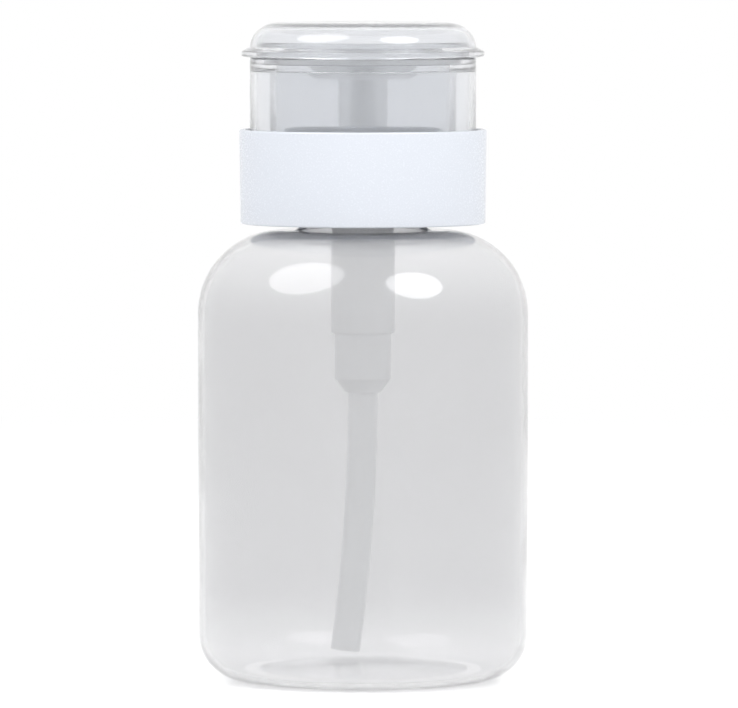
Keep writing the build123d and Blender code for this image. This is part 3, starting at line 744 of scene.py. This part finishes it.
class DISPENSER_OT_barrel(bpy.types.Operator):
    """Models the pump's barrel with its ball chamber and ribs, and the cap that closes it"""
    bl_idname = "dispenser.barrel"
    bl_label = "Barrel and cap"

    def execute(self, context):
        s = in_mm("pump")
        waxy = natural_polyethylene()
        low, high = node_box("pump_barrel")
        bore = s.barrel_radius - s.barrel_wall
        chamber_bore = s.chamber_radius - s.barrel_wall
        step = s.ledge - s.barrel_wall
        flange_top = s.flange_bottom + s.flange
        seat_top = s.seat_bottom + chamber_bore - s.throat
        socket = s.tube_radius + PRESS_FIT
        barrel = lathe("barrel_moulded", [
            (socket, low.z, 0.1), (s.tail_radius, low.z, 0.2),
            (s.chamber_radius, low.z + s.tail_cone, 0.4), (s.chamber_radius, step, 0.2),
            (s.barrel_radius, step, 0.3), (s.barrel_radius, s.flange_bottom, 0.3),
            (high.x, s.flange_bottom, 0.2), (high.x, flange_top, 0.2),
            (s.barrel_radius, flange_top, 0.05), (s.barrel_radius, high.z, 0.15),
            (bore, high.z, 0.15), (bore, s.ledge, 0.1), (chamber_bore, s.ledge, 0.15),
            (chamber_bore, seat_top, 0.2), (s.throat, s.seat_bottom, 0.2),
            (s.throat, s.socket_top, 0.1), (socket, s.socket_top, 0.1),
        ], rings=PUMP_RINGS)
        rib_outer = (chamber_bore + s.chamber_radius) / 2
        hook_bottom = s.ledge - s.hook
        ribs = []
        for quarter in range(4):
            rib = plate("guide_rib", [
                (s.rib_inner, s.seat_bottom + s.rib_inner - s.throat),
                (s.rib_inner, hook_bottom, 0.2), (s.hook_reach, hook_bottom, 0.2),
                (s.hook_reach, s.ledge, 0.2), (rib_outer, s.ledge),
                (rib_outer, s.seat_bottom + rib_outer - s.throat),
            ], s.rib)
            turn_about_axis(rib, quarter * QUARTER)
            ribs.append(rib)
        join(barrel, *ribs)
        vent_level = s.flange_bottom - s.vent_drop
        vent_end = s.barrel_radius + TOOL_REACH
        carve(barrel, rod("vent_tool", s.vent_radius, bore - TOOL_REACH, vent_end, 0, vent_level))
        finish_piece(barrel, "pump_barrel", "pump", waxy)
        low, high = node_box("barrel_cap")
        inner = s.barrel_radius + SNAP_FIT
        lip_bottom = high.z - s.cap_web
        cap = lathe("barrel_cap_moulded", [
            (s.cap_hole, lip_bottom, 0.1), (inner, lip_bottom, 0.05), (inner, low.z, 0.1),
            (s.cap_body, low.z, 0.1), (s.cap_body, lip_bottom, 0.05), (high.x, lip_bottom, 0.1),
            (high.x, high.z, 0.25), (s.cap_hole, high.z, 0.15),
        ], rings=PUMP_RINGS)
        finish_piece(cap, "barrel_cap", "pump", waxy)
        return {"FINISHED"}


class DISPENSER_OT_tube(bpy.types.Operator):
    """Models the dip tube, straight in its socket and bent a little below it"""
    bl_idname = "dispenser.tube"
    bl_label = "Dip tube"

    def execute(self, context):
        s = in_mm("pump")
        top = node_box("dip_tube")[1].z
        tail = node_box("pump_barrel")[0].z
        foot = 5.6
        drop = tail - foot
        bend = (s.tube_lean**2 + drop**2) / (2 * s.tube_lean)
        swing = 2 * atan2(s.tube_lean, drop)
        rings, bend_steps = 48, 20
        bpy.ops.mesh.primitive_circle_add(vertices=rings, radius=s.tube_radius, fill_type="NGON",
                                          location=(0, 0, top))
        bpy.ops.object.transform_apply()
        piece = named("dip_tube_extruded")
        bpy.ops.object.mode_set(mode="EDIT")
        bpy.ops.mesh.select_all(action="SELECT")
        bpy.ops.mesh.inset(thickness=s.tube_wall)
        bpy.ops.mesh.delete(type="FACE")
        bpy.ops.mesh.select_all(action="SELECT")
        pull((0, 0, tail - top))
        bpy.ops.mesh.spin(steps=bend_steps, angle=-swing, center=(-bend, 0, tail), axis=(0, 1, 0))
        close_skin(merge=True)
        finish_piece(piece, "dip_tube", "pump", natural_polyethylene())
        return {"FINISHED"}


class DISPENSER_OT_spring(bpy.types.Operator):
    """Models the return spring, its end turns close together and its ends cut square"""
    bl_idname = "dispenser.spring"
    bl_label = "Return spring"

    def execute(self, context):
        s = in_mm("pump")
        low, high = node_box("return_spring")
        coil_radius = high.x - s.wire_radius
        bottom = low.z + s.wire_radius
        rise = high.z - s.wire_radius - bottom
        steps = 40
        ease = steps // 6  # steps over which one pitch changes to the next
        open_pitch = (rise - 2 * s.end_pitch) / s.active_turns
        pitches = [s.end_pitch] * steps + [open_pitch] * (s.active_turns * steps) + [s.end_pitch] * steps
        eased = []
        for at in range(len(pitches)):
            around = pitches[max(at - ease, 0):at + ease + 1]
            eased.append(sum(around) / len(around))
        ratio = rise * steps / sum(eased)
        wire = [(coil_radius + x * s.wire_radius, bottom + z * s.wire_radius, s.wire_radius * 0.98)
                for x, z in ((1, -1), (1, 1), (-1, 1), (-1, -1))]
        piece = coil("return_spring_wound", wire, [pitch * ratio / steps for pitch in eased], steps)
        finish_piece(piece, "return_spring", "pump", drawn_steel())
        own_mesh(piece)
        return {"FINISHED"}


class DISPENSER_OT_rod(bpy.types.Operator):
    """Models the hollow stem and the retainer under the piston"""
    bl_idname = "dispenser.rod"
    bl_label = "Stem and retainer"

    def execute(self, context):
        s = in_mm("pump")
        low, high = node_box("stem")
        stem = lathe("stem_moulded", [
            (s.stem_bore, low.z, 0.1), (high.x, low.z, 0.1),
            (high.x, high.z, 0.2), (s.stem_bore, high.z, 0.2),
        ], rings=SMALL_RINGS)
        finish_piece(stem, "stem", "head", thin_polyethylene())
        low, high = node_box("piston_retainer")
        flange_bottom = low.z + s.nose
        flange_top = high.z - s.spigot
        spigot_radius = s.stem_bore - PRESS_FIT
        bore, cone = 0.8, 0.8
        retainer = lathe("retainer_moulded", [
            (bore, low.z, 0.15), (s.nose_radius - cone, low.z, 0.3),
            (s.nose_radius, low.z + cone, 0.3), (s.nose_radius, flange_bottom, 0.2),
            (high.x, flange_bottom, 0.2), (high.x, flange_top, 0.2),
            (spigot_radius, flange_top, 0.05), (spigot_radius, high.z, 0.2),
            (bore, high.z, 0.1),
        ], rings=SMALL_RINGS)
        finish_piece(retainer, "piston_retainer", "head", natural_polyethylene())
        return {"FINISHED"}


class DISPENSER_OT_balls(bpy.types.Operator):
    """Models the two steel balls of the inlet and outlet valves"""
    bl_idname = "dispenser.balls"
    bl_label = "Valve balls"

    def execute(self, context):
        bright = polished_steel()
        just_under = 0.9999  # a round as large as the ball would fold over
        for node in ("inlet_ball", "outlet_ball"):
            low, high = node_box(node)
            radius = high.x * just_under
            half = radius * just_under
            outline = [(0, low.z), (radius, low.z, half), (radius, high.z, half), (0, high.z)]
            ball = lathe(node + "_ground", outline, closed=False, rings=SMALL_RINGS)
            finish_piece(ball, node, node, bright)
        return {"FINISHED"}


class DISPENSER_OT_dish(bpy.types.Operator):
    """Models the dish with its boss, and the slotted outlet button in its floor"""
    bl_idname = "dispenser.dish"
    bl_label = "Dish and button"

    def execute(self, context):
        s = in_mm("head")
        waxy = thin_polyethylene()
        low, high = node_box("dish")
        seat = node_box("stem")[1]
        button_low, button_high = node_box("outlet_button")
        floor_top = high.z - s.dish_depth
        floor_bottom = floor_top - s.plate
        rise_end = s.floor_radius + s.rise
        recess = button_high.x + PRESS_FIT
        socket = seat.x + PRESS_FIT
        dish = lathe("dish_moulded", [
            (socket, low.z, 0.1), (s.boss_radius, low.z, 0.25), (s.boss_radius, floor_bottom, 0.4),
            (s.floor_radius, floor_bottom, s.bend), (rise_end, high.z - s.plate, s.bend),
            (high.x, high.z - s.plate, 0.1), (high.x, high.z, 0.25), (rise_end, high.z, s.bend),
            (s.floor_radius, floor_top, s.bend), (recess, floor_top, 0.12),
            (recess, button_low.z, 0.05), (s.ball_chamber, button_low.z, 0.1),
            (s.ball_chamber, seat.z, 0.1), (socket, seat.z, 0.05),
        ])
        finish_piece(dish, "dish", "head", waxy)
        radius = button_high.x
        inner = radius - s.button_wall
        crown_bottom = button_high.z - s.button_crown
        dome, stop = 0.25, 0.8  # how far the top is crowned, and the pin that stops the ball
        crown_edge = button_high.z - dome
        button = lathe("outlet_button_moulded", [
            *shallow_arc(radius, button_high.z, crown_edge, (0, 0.3, 0.6, 0.8)),
            (radius, crown_edge, 0.3), (radius, button_low.z, 0.1), (inner, button_low.z, 0.1),
            (inner, crown_bottom, 0.1), (stop, crown_bottom, 0.1),
            (stop, floor_top, 0.1), (0, floor_top),
        ], closed=False, rings=PUMP_RINGS)
        for at in range(s.slots):
            tool = box_tool((radius - 1.5 * s.button_wall, -s.slot / 2, floor_top),
                            (radius + s.button_wall, s.slot / 2, crown_bottom))
            turn_about_axis(tool, tau * at / s.slots)
            carve(button, tool)
        finish_piece(button, "outlet_button", "head", waxy)
        return {"FINISHED"}


class DISPENSER_OT_sleeve(bpy.types.Operator):
    """Models the clear press sleeve with its guide ring, spigot and hinge ears"""
    bl_idname = "dispenser.sleeve"
    bl_label = "Press sleeve"

    def execute(self, context):
        s = in_mm("head")
        low, high = node_box("press_sleeve")
        outer = high.x
        inner = outer - s.sleeve_wall
        shelf_top = node_box("dish")[1].z - s.plate
        shelf_bottom = shelf_top - s.plate
        ring_outer = s.ring_inner + s.ring_wall
        ring_bottom = low.z + s.ring_rise
        spigot_inner = s.spigot_outer - s.sleeve_wall
        piece = lathe("press_sleeve_moulded", [
            (inner, low.z, 0.25), (outer, low.z, 0.25), (outer, s.lid_seat, 0.25),
            (s.spigot_outer, s.lid_seat, 0.15), (s.spigot_outer, high.z, s.spigot_round),
            (spigot_inner, high.z, s.spigot_round), (spigot_inner, shelf_top, 0.15),
            (s.ring_inner, shelf_top, 0.25), (s.ring_inner, ring_bottom, 0.25),
            (ring_outer, ring_bottom, 0.25), (ring_outer, shelf_bottom, 0.3),
            (inner, shelf_bottom, 0.3),
        ])
        ear_inner = s.knuckle_half + s.ear_gap
        in_wall = inner + s.sleeve_wall / 2
        ear_foot, ear_top = s.lid_seat - 3.2, s.lid_seat - 0.1
        front, back, under, over = round_hinge(s, s.ear_radius)
        ear_round = s.ear_radius * FULL_ROUND
        for side in (1, -1):
            ear = plate("ear_tool", [
                (in_wall, ear_foot), (s.hinge_y + 0.2, under, 0.6), (back, under, ear_round),
                (back, over, ear_round), (front, over, ear_round), (front, ear_top),
                (in_wall, ear_top),
            ], s.ear)
            turn_about_axis(ear, QUARTER, side * (ear_inner + s.ear / 2))
            carve(piece, ear, "UNION")
        reach = ear_inner + 2 * s.ear
        carve(piece, rod("pivot_tool", s.pin_radius + SNAP_FIT, -reach, reach, s.hinge_y, s.hinge_z))
        clear = clear_polypropylene("clear clarified polypropylene", "sleeve")
        finish_piece(piece, "press_sleeve", "head", clear)
        return {"FINISHED"}


class DISPENSER_OT_lid(bpy.types.Operator):
    """Models the domed flip lid with its lip, notches, knuckle and pivots"""
    bl_idname = "dispenser.lid"
    bl_label = "Flip lid"

    def execute(self, context):
        s = in_mm("head")
        high = node_box("flip_lid")[1]
        bottom = s.lid_seat + SNAP_FIT
        lip, lip_round = high.x, 0.35
        lip_bottom = bottom + lip_round
        inner = s.lid_radius - s.lid_wall
        edge = high.z - s.lid_crown
        under = high.z - s.lid_wall
        piece = lathe("flip_lid_moulded", [
            *shallow_arc(s.lid_radius, high.z, edge, (0, 0.2, 0.4, 0.6, 0.72)),
            (s.lid_radius, edge, s.lid_corner), (s.lid_radius, bottom + s.lip_root, 0.5),
            (lip, lip_bottom + s.lip_tip, lip_round), (lip, lip_bottom, lip_round),
            (s.lid_radius, bottom, 0.2), (inner, bottom, 0.2),
            (inner, under - s.lid_crown, s.lid_corner_inside),
            *reversed(shallow_arc(inner, under, under - s.lid_crown, (0, 0.2, 0.4, 0.6, 0.8))),
        ], closed=False)
        notch_outer = s.knuckle_half + 2 * s.ear_gap + s.ear
        for side in (1, -1):
            near, far = sorted((side * s.knuckle_half, side * notch_outer))
            carve(piece, box_tool((near, s.lid_radius, bottom - TOOL_REACH),
                                  (far, lip + TOOL_REACH, bottom + s.lip_root + TOOL_REACH)))
        in_wall = inner + s.lid_wall / 2
        bridge = 1.6
        bridge_top = bottom + bridge
        front, back, below, over = round_hinge(s, s.knuckle_radius)
        knuckle_round = s.knuckle_radius * FULL_ROUND
        slope_foot, slope_top = front + 0.3, s.hinge_y - 0.8
        knuckle = plate("knuckle_tool", [
            (in_wall, bottom), (front, bottom), (front, below, 1.3), (back, below, knuckle_round),
            (back, over, knuckle_round), (slope_top, over, 0.5),
            (slope_foot, bridge_top, 0.3), (in_wall, bridge_top),
        ], 2 * s.knuckle_half)
        turn_about_axis(knuckle, QUARTER)
        carve(piece, knuckle, "UNION")
        pin_root = s.knuckle_half - s.ear_gap
        pin_end = s.knuckle_half + s.ear_gap + s.ear - 0.1  # just inside the ear's face
        spans = [sorted((side * pin_root, side * pin_end)) for side in (1, -1)]
        join(piece, *(rod("pivot", s.pin_radius, *span, s.hinge_y, s.hinge_z, 0.15) for span in spans))
        bluish = clear_polypropylene("bluish clarified polypropylene", "lid")
        finish_piece(piece, "flip_lid", "lid", bluish)
        return {"FINISHED"}


class DISPENSER_OT_stage(bpy.types.Operator):
    """Sets the pale floor, the two softboxes, the white surroundings and the camera"""
    bl_idname = "dispenser.stage"
    bl_label = "Stage"

    def execute(self, context):
        s = context.scene.dispenser_stage
        floor_size, floor_middle = 14, (0, 4, 0)  # metres, most of it behind the bottle
        bpy.ops.mesh.primitive_plane_add(size=floor_size, location=floor_middle)
        bpy.ops.object.transform_apply()
        floor = named("studio_floor")
        floor.data.materials.append(white_floor())
        shoulder = Vector((0, 0, 0.08))  # metres
        for name, azimuth, elevation, width in SOFTBOXES:
            side, up = radians(azimuth), radians(elevation)
            way = Vector((sin(side) * cos(up), -cos(side) * cos(up), sin(up)))
            bpy.ops.object.light_add(type="AREA", location=shoulder + way * s.box_distance)
            lamp = named(name)
            lamp.data.shape = "DISK"
            lamp.data.size = width
            lamp.data.energy = s.box_power
            lamp.rotation_mode = "QUATERNION"
            lamp.rotation_quaternion = way.to_track_quat("Z", "Y")
        white_world()
        aim = Vector((s.aim_side, 0, s.aim_height))
        eye = Vector((s.aim_side, -s.distance, s.height))
        bpy.ops.object.camera_add(location=eye)
        camera = named("camera")
        camera.rotation_mode = "QUATERNION"
        camera.rotation_quaternion = (eye - aim).to_track_quat("Z", "Y")
        picture_width, sensor_width = 738, 36
        camera.data.sensor_width = sensor_width
        camera.data.lens = sensor_width * s.picture_scale / MM * (eye - aim).length / picture_width
        camera.data.clip_start = 0.05
        camera.data.clip_end = 50
        context.scene.camera = camera
        context.scene.view_settings.view_transform = "Standard"
        cycles = context.scene.cycles
        cycles.max_bounces = cycles.transmission_bounces = cycles.transparent_max_bounces = 32
        cycles.diffuse_bounces = 16
        cycles.glossy_bounces = 8
        return {"FINISHED"}


class DISPENSER_PT_panel(bpy.types.Panel):
    """Lists the dispenser's pieces, sizes and colours"""
    bl_idname = "DISPENSER_PT_panel"
    bl_label = "Dispenser bottle"
    bl_space_type = "VIEW_3D"
    bl_region_type = "UI"
    bl_category = "Dispenser"

    def draw(self, context):
        for group in GROUPS:
            section = self.layout.box()
            section.label(text=group)
            values = getattr(context.scene, "dispenser_" + group)
            for prop in values.bl_rna.properties:
                if prop.type in ("FLOAT", "INT"):
                    section.prop(values, prop.identifier)
        for step in STEPS:
            self.layout.operator(step.bl_idname)


GROUPS = {"bottle": BottleSizes, "thread": ThreadSizes, "collar": CollarSizes, "pump": PumpSizes,
          "head": HeadSizes, "colours": Colours, "stage": StageSizes}
STEPS = (DISPENSER_OT_bottle, DISPENSER_OT_collar, DISPENSER_OT_seals, DISPENSER_OT_barrel,
         DISPENSER_OT_tube, DISPENSER_OT_spring, DISPENSER_OT_rod, DISPENSER_OT_balls,
         DISPENSER_OT_dish, DISPENSER_OT_sleeve, DISPENSER_OT_lid, DISPENSER_OT_stage)


def register():
    """Registers the property groups, the operators and the panel."""
    for name, group in GROUPS.items():
        bpy.utils.register_class(group)
        setattr(bpy.types.Scene, "dispenser_" + name, PointerProperty(type=group))
    for step in (*STEPS, DISPENSER_PT_panel):
        bpy.utils.register_class(step)


def unregister():
    """Takes them away again."""
    for step in reversed((*STEPS, DISPENSER_PT_panel)):
        bpy.utils.unregister_class(step)
    for name, group in reversed(GROUPS.items()):
        delattr(bpy.types.Scene, "dispenser_" + name)
        bpy.utils.unregister_class(group)


def main():
    register()
    for step in STEPS:
        family, name = step.bl_idname.split(".")
        getattr(getattr(bpy.ops, family), name)()


if __name__ == "__main__":
    main()
